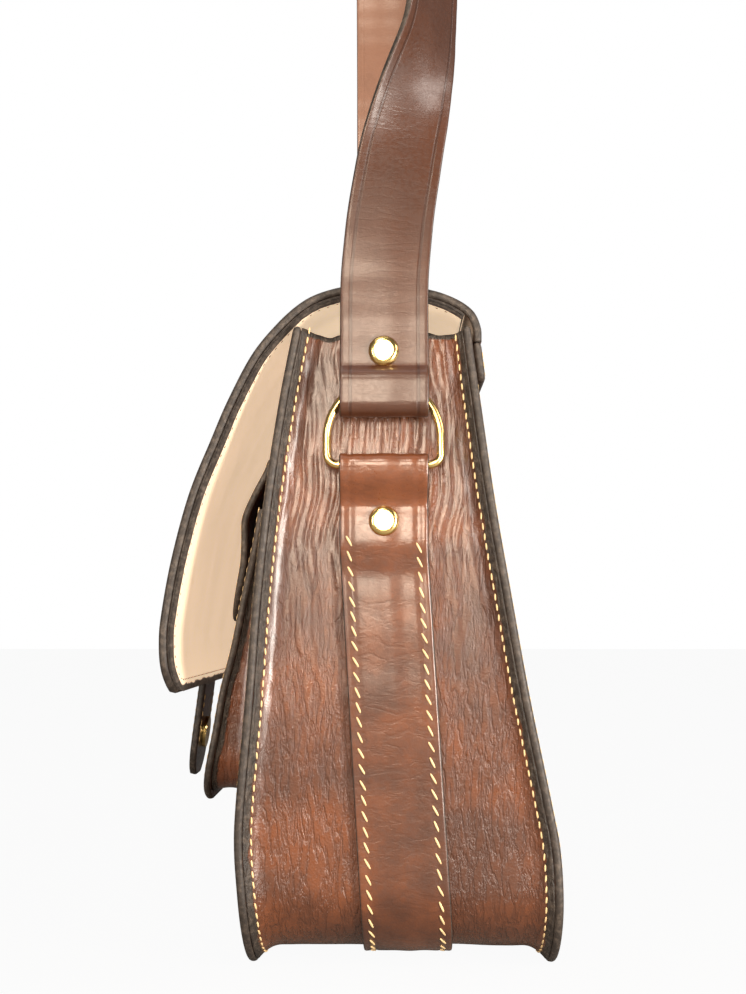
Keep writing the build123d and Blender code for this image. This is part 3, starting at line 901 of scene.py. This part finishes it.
class BAG_OT_pocket(bpy.types.Operator):
    """Front pocket, its wedge wall, its lid and the sewn edge above"""
    bl_idname = "bag.pocket"
    bl_label = "Pocket"

    def execute(self, context):
        self.cover("pocket_front", out_of_front(POCKET), POCKET_CORNER, 80, "bag")
        self.wall(out_of_front(POCKET))
        self.cover("pocket_lid", out_of_front(LID), POCKET_CORNER, 60, "lid")
        self.cover("lid_seam", lambda z: LID_SEAM_OUT, 3 * MM, 14, "bag")
        return {"FINISHED"}

    def cover(self, node, distance, radius, rows, body):
        """One plate in front of the bag, in the place of a CAD node."""
        low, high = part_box(node)
        piece = plate(node + "_leather", lambda z: front_y(z, distance(z)), low.z, high.z, high.x, radius,
                      POCKET_THICK, -1, rows=rows)
        finish_piece(piece, body, MATERIALS["panel"], [node])

    def wall(self, pocket):
        low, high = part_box("pocket_front")
        path = np.array(u_outline(high.x - POCKET_WALL_INSET, 15 * MM, low.z + POCKET_WALL_INSET, high.z,
                                  40, 16, 40))
        out = -sides(path)
        v = np.linspace(0, 1, 22)
        front = front_y(path[:, 1], pocket(path[:, 1]) - 2.65 * MM)
        back = front_y(path[:, 1], SEAM_GAP)
        y = front[:, None] + (back - front)[:, None] * v[None, :]
        pinch = 1.2 * MM * np.sin(math.pi * v)[None, :] * np.ones((len(path), 1))
        layers = []
        for depth in (0.0, POCKET_WALL_THICK):
            point = path[:, None, :] - out[:, None, :] * (pinch + depth)[:, :, None]
            layers.append(np.stack([point[:, :, 0], y, point[:, :, 1]], axis=2))
        rim = np.minimum(y - front[:, None], back[:, None] - y) + 0.4 * MM
        run = np.linspace(0, 0.5, len(path))[:, None] * np.ones_like(y)
        piece = shell("pocket_wall_leather", layers[0], layers[1], rim, np.stack([run, y], axis=2))
        finish_piece(piece, "bag", MATERIALS["gusset"], ["pocket_gusset"])


def strap_path():
    """(x, z) of the middle of the strap: tail, eye, leg, arch and the same back down."""
    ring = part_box("d_ring_right")
    middle = (ring[0].x + ring[1].x) / 2
    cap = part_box("strap_rivet_caps")
    closed = cap[0].z
    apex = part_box("shoulder_strap")[1].z - 1.25 * MM
    leg, tail, wide = middle + 1.25 * MM, middle - 1.4 * MM, 4.65 * MM
    fold = wide * 0.75
    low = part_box("shoulder_strap")[0].z + 1.25 * MM + fold
    side = [(tail, z) for z in (0.232, closed + 0.012, closed + 0.008, closed + 0.004, closed)]
    side += [(tail - 1.1 * MM, closed - 1.4 * MM), (middle - wide, closed - 4.2 * MM),
             (middle - wide - 0.2 * MM, closed - 9 * MM)]
    side += [(middle + wide * math.cos(a), low + fold * math.sin(a)) for a in np.radians(np.arange(180, 361, 20))]
    side += [(middle + wide + 0.2 * MM, closed - 9 * MM), (middle + wide, closed - 4.2 * MM),
             (leg + 1.1 * MM, closed - 1.4 * MM)]
    side += [(leg, z) for z in (closed, closed + 0.004, closed + 0.008, closed + 0.012, closed + 0.02)]
    start = closed + 0.02
    side += [(leg, start + (STRAP_STRAIGHT_TOP - start) * k / 5) for k in range(1, 6)]
    arch = apex - STRAP_STRAIGHT_TOP
    side += [(leg * math.cos(a), STRAP_STRAIGHT_TOP + arch * math.sin(a))
             for a in np.radians(np.arange(10, 90, 10))]
    return smooth(side + [(0.0, apex)] + [(-x, z) for x, z in reversed(side)], 1100)


class BAG_OT_strap(bpy.types.Operator):
    """Shoulder strap with its turn above the near end"""
    bl_idname = "bag.strap"
    bl_label = "Strap"

    def execute(self, context):
        path = strap_path()
        normals = -sides(path)
        x, z = path[:, 0], path[:, 1]
        high = [0.0, 0.248, 0.272, 0.299, 0.320, 0.343, 0.37, 0.40, 0.45, 0.52, 0.60]
        sway = np.interp(z, high, np.array([-5, -4.8, -2.5, 2, 7, 13, 14, 10, 3, -4, -5]) * MM)
        turn = np.interp(z, high, [0, 0, 0.10, 0.28, 0.62, 1.0, 1.0, 0.85, 0.45, 0.1, 0.0]) * sizes().twist
        near = np.clip(x / (60 * MM), 0, 1)
        middle = -5 * MM + (sway + 5 * MM) * near
        kernel = np.hanning(31)
        kernel /= kernel.sum()
        middle = np.convolve(np.pad(middle, 15, mode="edge"), kernel, mode="valid")
        turn = np.convolve(np.pad(turn * near, 15, mode="edge"), kernel, mode="valid")

        def bulge(run, across_):
            return 0.16 * MM * ripple(run * 260, across_ * 200)

        piece = ribbon("shoulder_strap_leather", path, normals, middle, BAND_HALF, STRAP_THICK, turn=turn, bulge=bulge,
                       rows=31, edge=0.6 * MM)
        finish_piece(piece, "strap", MATERIALS["strap"], ["shoulder_strap"])
        return {"FINISHED"}


class BAG_OT_metal(bpy.types.Operator):
    """Brass rings, rivets and studs keep their CAD shape"""
    bl_idname = "bag.metal"
    bl_label = "Metal"

    def execute(self, context):
        names = ("tab_rivet_caps", "tab_rivet_posts", "strap_rivet_caps", "strap_rivet_posts", "d_ring_right",
                 "d_ring_left", "pocket_stud", "tongue_snap")
        for name in names:
            data = NODES[name].data
            if data.materials:
                for k in range(len(data.materials)):
                    data.materials[k] = MATERIALS["brass"]
            else:
                data.materials.append(MATERIALS["brass"])
        return {"FINISHED"}


# Stitches

def stitch_mesh():
    """One short thread with round ends, lying along X."""
    verts, faces = [], []
    rings = [(-1.0, 0.25), (-0.8, 0.75), (-0.35, 1.0), (0.35, 1.0), (0.8, 0.75), (1.0, 0.25)]
    around = 6
    for along, radius in rings:
        for k in range(around):
            a = 2 * math.pi * k / around
            verts.append((along, radius * math.cos(a), radius * math.sin(a)))
    for r in range(len(rings) - 1):
        for k in range(around):
            q = (k + 1) % around
            faces.append((r * around + k, r * around + q, (r + 1) * around + q, (r + 1) * around + k))
    faces.append(tuple(range(around - 1, -1, -1)))
    faces.append(tuple((len(rings) - 1) * around + k for k in range(around)))
    mesh = bpy.data.meshes.new("stitch_shape")
    mesh.from_pydata(verts, [], faces)
    mesh.shade_smooth()
    obj = bpy.data.objects.new("stitch_shape", mesh)
    bpy.context.scene.collection.objects.link(obj)
    face_outwards(obj)
    return obj


def stitch_tree():
    tree = bpy.data.node_groups.new("stitch_rows", "GeometryNodeTree")
    for label, way, kind in (("Geometry", "INPUT", "Geometry"), ("Stitch", "INPUT", "Object"),
                             ("Size", "INPUT", "Vector"), ("Thread", "INPUT", "Material"),
                             ("Geometry", "OUTPUT", "Geometry")):
        tree.interface.new_socket(label, in_out=way, socket_type="NodeSocket" + kind)
    start = tree.nodes.new("NodeGroupInput")
    end = tree.nodes.new("NodeGroupOutput")
    shape = tree.nodes.new("GeometryNodeObjectInfo")
    turn = tree.nodes.new("GeometryNodeInputNamedAttribute")
    turn.data_type = "FLOAT_VECTOR"
    turn.inputs["Name"].default_value = "turn"
    place = tree.nodes.new("GeometryNodeInstanceOnPoints")
    solid = tree.nodes.new("GeometryNodeRealizeInstances")
    paint = tree.nodes.new("GeometryNodeSetMaterial")
    euler = tree.nodes.new("FunctionNodeEulerToRotation")
    for source, output, target, socket in (
            (start, "Geometry", place, "Points"), (start, "Stitch", shape, "Object"),
            (shape, "Geometry", place, "Instance"), (turn, "Attribute", euler, "Euler"),
            (euler, "Rotation", place, "Rotation"), (start, "Size", place, "Scale"),
            (place, "Instances", solid, "Geometry"), (solid, "Geometry", paint, "Geometry"),
            (start, "Thread", paint, "Material"), (paint, "Geometry", end, "Geometry")):
        link(tree, source.outputs[output], target.inputs[socket])
    return tree


def stitch_row(points, normals, pitch, slant=0.0, skip=0.5, seed=1):
    """Places and turns for stitches along a row: (place, euler)."""
    rng = random.Random(seed)
    run = lengths(points)
    result = []
    at = pitch * skip
    while at < run[-1]:
        p = np.array([np.interp(at, run, points[:, k]) for k in range(3)])
        n = np.array([np.interp(at, run, normals[:, k]) for k in range(3)])
        ahead = np.array([np.interp(min(at + pitch, run[-1]), run, points[:, k]) for k in range(3)])
        behind = np.array([np.interp(max(at - pitch, 0), run, points[:, k]) for k in range(3)])
        along = Vector(ahead - behind).normalized()
        up = Vector(n).normalized()
        cross = up.cross(along).normalized()
        tilt = slant + rng.uniform(-0.08, 0.08)
        direction = (along * math.cos(tilt) + cross * math.sin(tilt)).normalized()
        cross = up.cross(direction).normalized()
        up = direction.cross(cross).normalized()
        turn = Matrix((direction, cross, up)).transposed().to_euler()
        result.append((p, turn))
        at += pitch * (1 + rng.uniform(-0.05, 0.05))
    return result


def make_stitches(name, rows, size, body, shape, tree, material="thread"):
    """One mesh of stitches for one body, from rows of places."""
    places = [p for row in rows for p in row]
    mesh = bpy.data.meshes.new(name + "_places")
    mesh.from_pydata([tuple(p) for p, _ in places], [], [])
    layer = mesh.attributes.new("turn", "FLOAT_VECTOR", "POINT")
    layer.data.foreach_set("vector", np.array([tuple(e) for _, e in places], np.float32).ravel())
    holder = bpy.data.objects.new(name + "_places", mesh)
    bpy.context.scene.collection.objects.link(holder)
    modifier = holder.modifiers.new("stitches", "NODES")
    modifier.node_group = tree
    values = {"Stitch": shape, "Size": size, "Thread": MATERIALS[material]}
    for item in tree.interface.items_tree:
        if item.item_type == "SOCKET" and item.in_out == "INPUT" and item.name in values:
            modifier[item.identifier] = values[item.name]
    bpy.context.view_layer.update()
    view = bpy.context.evaluated_depsgraph_get()
    final = bpy.data.meshes.new_from_object(holder.evaluated_get(view))
    final.name = name
    piece = bpy.data.objects.new(name, final)
    bpy.context.scene.collection.objects.link(piece)
    bpy.data.objects.remove(holder)
    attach(piece, body)
    return piece


def lift(points, normals, amount):
    return points + normals * amount


def gusset_rows():
    """Stitch rows on the gusset beside both panels."""
    grid, _, _, y = gusset_grid()
    rows = []
    for side, seed in ((1, 3), (-1, 5)):
        line, nearby = [], []
        for i in range(grid.shape[0]):
            distance = (y[i] - y[i, 0]) if side > 0 else (y[i, -1] - y[i])
            order = np.argsort(distance)
            line.append([np.interp(2.6 * MM, distance[order], grid[i, order, k]) for k in range(3)])
            nearby.append([np.interp(3.6 * MM, distance[order], grid[i, order, k]) for k in range(3)])
        line, nearby = np.array(line), np.array(nearby)
        along = np.gradient(line, axis=0)
        normals = np.cross(nearby - line, along)
        normals /= np.linalg.norm(normals, axis=1)[:, None]
        outward = line - np.array([0, 0, 0.12])
        flip = np.sign((normals * outward * np.array([1, 0, 1])).sum(axis=1))
        normals = normals * flip[:, None]
        rows.append(stitch_row(lift(line, normals, 0.15 * MM), normals, sizes().stitch_pitch, 0.12 * side, seed=seed))
    return rows


def strip_rows():
    """Slanted stitches along both sides of the strip, below the rivets."""
    path = strip_path()
    keep = np.arange(len(path))
    middle = strip_middle(path[:, 1])
    normals = -sides(path)
    rows = []
    solid = np.stack([path[:, 0], middle, path[:, 1]], axis=1)
    up = np.stack([normals[:, 0], np.zeros(len(path)), normals[:, 1]], axis=1)
    run = lengths(path)
    clear = 62 * MM
    keep = keep[(run > clear) & (run < run[-1] - clear)]
    for side, seed in ((-1, 7), (1, 11)):
        line = solid[keep] + np.array([0, side * 12.6 * MM, 0])
        rows.append(stitch_row(lift(line, up[keep], 0.98 * MM), up[keep], sizes().strip_pitch, 0.42, seed=seed))
    return rows


def plate_rows(line_y, z_low, z_high, half, radius, sign, inset, seed, pitch=None, close_top=False):
    """Stitch row on a plate face at an inset from its outline."""
    pitch = sizes().stitch_pitch if pitch is None else pitch
    h, r, low = half - inset, radius - inset, z_low + inset
    points = u_outline(h, r, low, z_high - (inset if close_top else 0), 60, 20, 50)
    if close_top:
        points += [(x, z_high - inset) for x in np.linspace(h, -h, 80)[1:]]
    points = np.array(points)
    y = line_y(points[:, 1])
    solid = np.stack([points[:, 0], y, points[:, 1]], axis=1)
    slope = (line_y(points[:, 1] + 1 * MM) - line_y(points[:, 1] - 1 * MM)) / (2 * MM)
    normals = np.stack([np.zeros(len(points)), np.ones(len(points)), -slope], axis=1) * sign
    normals /= np.linalg.norm(normals, axis=1)[:, None]
    return stitch_row(lift(solid, normals, 0.12 * MM), normals, pitch, 0.1, seed=seed)


def flap_rows(depth, inset, seed):
    """Stitches round the free edge of the flap on its outer or inner face."""
    line = flap_line()
    left = sides(line)
    run = lengths(line)
    from_low = run[-1] - run
    first = 20
    corner = FLAP_CORNER
    points, normals = [], []
    sign = -1 if depth < 2 * MM else 1

    def add(x, distance):
        k = np.interp(distance, from_low[::-1], np.arange(len(line))[::-1])
        p = [np.interp(k, np.arange(len(line)), line[:, c]) for c in (0, 1)]
        n = [np.interp(k, np.arange(len(line)), left[:, c]) for c in (0, 1)]
        points.append((x, p[0] + n[0] * depth, p[1] + n[1] * depth))
        normals.append((0, sign * n[0], sign * n[1]))

    half, radius = FLAP_HALF - inset, corner - inset
    for d in np.linspace(from_low[first], corner, 120):
        add(-half, d)
    for a in np.linspace(0, math.pi / 2, 14)[1:]:
        add(-half + radius - radius * math.cos(a), corner - radius * math.sin(a))
    for x in np.linspace(-half + radius, half - radius, 80)[1:]:
        add(x, inset)
    for a in np.linspace(math.pi / 2, 0, 14)[1:]:
        add(half - radius + radius * math.cos(a), corner - radius * math.sin(a))
    for d in np.linspace(corner, from_low[first], 120)[1:]:
        add(half, d)
    points, normals = np.array(points), np.array(normals)
    return stitch_row(lift(points, normals, 0.1 * MM), normals, sizes().stitch_pitch, 0.1, seed=seed)


def tongue_rows():
    path, left = tongue_path()
    rows = []
    for depth, sign in ((-SEAM_GAP - TONGUE_THICK, -1), (-SEAM_GAP, 1)):
        for side in (-1, 1):
            points = np.stack([np.full(len(path), side * 14 * MM), path[:, 0] + left[:, 0] * depth,
                               path[:, 1] + left[:, 1] * depth], axis=1)[4:-22]
            normals = np.stack([np.zeros(len(path)), sign * left[:, 0], sign * left[:, 1]], axis=1)[4:-22]
            if sign > 0:
                points, normals = points[36:], normals[36:]
            rows.append(stitch_row(lift(points, normals, 0.1 * MM), normals, sizes().stitch_pitch, 0.1, seed=31 + side))
    return rows


class BAG_OT_stitches(bpy.types.Operator):
    """Rows of cream thread on every seam"""
    bl_idname = "bag.stitches"
    bl_label = "Stitches"

    def execute(self, context):
        shape = stitch_mesh()
        tree = stitch_tree()
        make_stitches("gusset_edge_stitches", gusset_rows(), EDGE_STITCH, "bag", shape, tree)
        make_stitches("strip_stitches", strip_rows(), STRIP_STITCH, "bag", shape, tree)
        panels = [plate_rows(front_y, 0.0, TOP, HALF, CORNER, -1, PANEL_ROW_INSET, 13),
                  plate_rows(back_y, 0.0, TOP - 20 * MM, HALF, CORNER, 1, PANEL_ROW_INSET, 17)]
        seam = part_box("flap_seam")
        panels.append(plate_rows(lambda z: back_y(z, FLAP_SEAM_OUT), seam[0].z, seam[1].z, FLAP_HALF, 6 * MM, 1,
                                 2.6 * MM, 19, close_top=True))
        panels.append(self.pocket_row("pocket_front", out_of_front(POCKET), 23))
        make_stitches("panel_stitches", panels, EDGE_STITCH, "bag", shape, tree)
        lid = [self.pocket_row("pocket_lid", out_of_front(LID), 29)]
        make_stitches("lid_stitches", lid, EDGE_STITCH, "lid", shape, tree)
        flap = [flap_rows(0.0, FLAP_ROW_INSET, 37)] + tongue_rows()
        make_stitches("flap_stitches", flap, EDGE_STITCH, "flap", shape, tree)
        # Dark marks painted as the shade in the needle holes on the lining.
        marks = [flap_rows(LINING_END, FLAP_ROW_INSET, 41)]
        make_stitches("lining_stitch_marks", marks, NEEDLE_HOLE, "flap", shape, tree, "hole")
        bpy.data.objects.remove(shape)
        return {"FINISHED"}

    def pocket_row(self, node, distance, seed):
        low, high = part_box(node)
        return plate_rows(lambda z: front_y(z, distance(z)), low.z, high.z, high.x, POCKET_CORNER, -1,
                          POCKET_ROW_INSET, seed)


# Stage

def area_light(name, place, target, power, size, colour):
    data = bpy.data.lights.new(name, "AREA")
    data.energy = power
    data.shape = "RECTANGLE"
    data.size, data.size_y = size
    data.color = colour
    lamp = bpy.data.objects.new(name, data)
    lamp.location = place
    lamp.rotation_euler = (Vector(target) - Vector(place)).to_track_quat("-Z", "Y").to_euler()
    bpy.context.scene.collection.objects.link(lamp)
    return lamp


class BAG_OT_stage(bpy.types.Operator):
    """Floor, soft light and the end-on camera"""
    bl_idname = "bag.stage"
    bl_label = "Stage"

    def execute(self, context):
        scene = bpy.context.scene
        floor_mesh = bpy.data.meshes.new("floor")
        corners = [(x * FLOOR_HALF, y * FLOOR_HALF, 0) for x, y in ((-1, -1), (1, -1), (1, 1), (-1, 1))]
        floor_mesh.from_pydata(corners, [], [(0, 1, 2, 3)])
        floor = bpy.data.objects.new("floor", floor_mesh)
        scene.collection.objects.link(floor)
        floor.location.z = -FLOOR_DROP
        floor.data.materials.append(self.paper())
        self.world(scene)
        lamps = [area_light(*light) for light in LIGHTS]
        data = bpy.data.cameras.new("camera")
        data.lens = CAMERA_LENS
        data.sensor_width = CAMERA_FILM
        data.clip_end = 30
        camera = bpy.data.objects.new("camera", data)
        camera.location = CAMERA_PLACE
        level = math.cos(CAMERA_PITCH)
        ahead = Vector((-level * math.cos(CAMERA_YAW), -level * math.sin(CAMERA_YAW), math.sin(CAMERA_PITCH)))
        camera.rotation_euler = ahead.to_track_quat("-Z", "Y").to_euler()
        scene.collection.objects.link(camera)
        scene.camera = camera
        scene.view_settings.view_transform = "Standard"
        return {"FINISHED"}

    def paper(self):
        material, tree, shader = new_material("pale_floor")
        shader.inputs["Base Color"].default_value = (0.30, 0.29, 0.28, 1)
        shader.inputs["Roughness"].default_value = 0.9
        glow = tree.nodes.new("ShaderNodeEmission")
        both = tree.nodes.new("ShaderNodeMixShader")
        seen = tree.nodes.new("ShaderNodeLightPath").outputs["Is Camera Ray"]
        link(tree, times(tree, seen, FLOOR_GLOW), both.inputs[0])
        link(tree, shader.outputs[0], both.inputs[1])
        link(tree, glow.outputs[0], both.inputs[2])
        link(tree, both.outputs[0], tree.nodes["Material Output"].inputs["Surface"])
        return material

    def world(self, scene):
        world = bpy.data.worlds.new("studio")
        scene.world = world
        world.use_nodes = True
        tree = world.node_tree
        back = tree.nodes["Background"]
        seen = tree.nodes.new("ShaderNodeLightPath").outputs["Is Camera Ray"]
        strength = span(tree, seen, 0.0, 1.0, WORLD_LIGHT, 1.0, False)
        back.inputs["Color"].default_value = (1, 1, 1, 1)
        link(tree, strength, back.inputs["Strength"])


class BAG_PT_panel(bpy.types.Panel):
    """Sizes, colours and building steps of the bag"""
    bl_idname = "BAG_PT_panel"
    bl_label = "Sling bag"
    bl_space_type = "VIEW_3D"
    bl_region_type = "UI"
    bl_category = "Bag"

    def draw(self, context):
        for holder in (context.scene.bag_sizes, context.scene.bag_colours):
            for name in holder.__annotations__:
                self.layout.prop(holder, name)
        for operator in OPERATORS:
            self.layout.operator(operator.bl_idname)


OPERATORS = (BAG_OT_materials, BAG_OT_panels, BAG_OT_gusset, BAG_OT_strip, BAG_OT_flap, BAG_OT_pocket, BAG_OT_strap,
             BAG_OT_metal, BAG_OT_stitches, BAG_OT_stage)
CLASSES = (BagSizes, BagColours) + OPERATORS + (BAG_PT_panel,)


def register():
    for item in CLASSES:
        bpy.utils.register_class(item)
    bpy.types.Scene.bag_sizes = bpy.props.PointerProperty(type=BagSizes)
    bpy.types.Scene.bag_colours = bpy.props.PointerProperty(type=BagColours)


def unregister():
    del bpy.types.Scene.bag_colours
    del bpy.types.Scene.bag_sizes
    for item in reversed(CLASSES):
        bpy.utils.unregister_class(item)


def main():
    register()
    for name in ("materials", "panels", "gusset", "strip", "flap", "pocket", "strap", "metal", "stitches", "stage"):
        result = getattr(bpy.ops.bag, name)()
        if "FINISHED" not in result:
            raise RuntimeError(f"{name} did not finish")


if __name__ == "__main__":
    main()
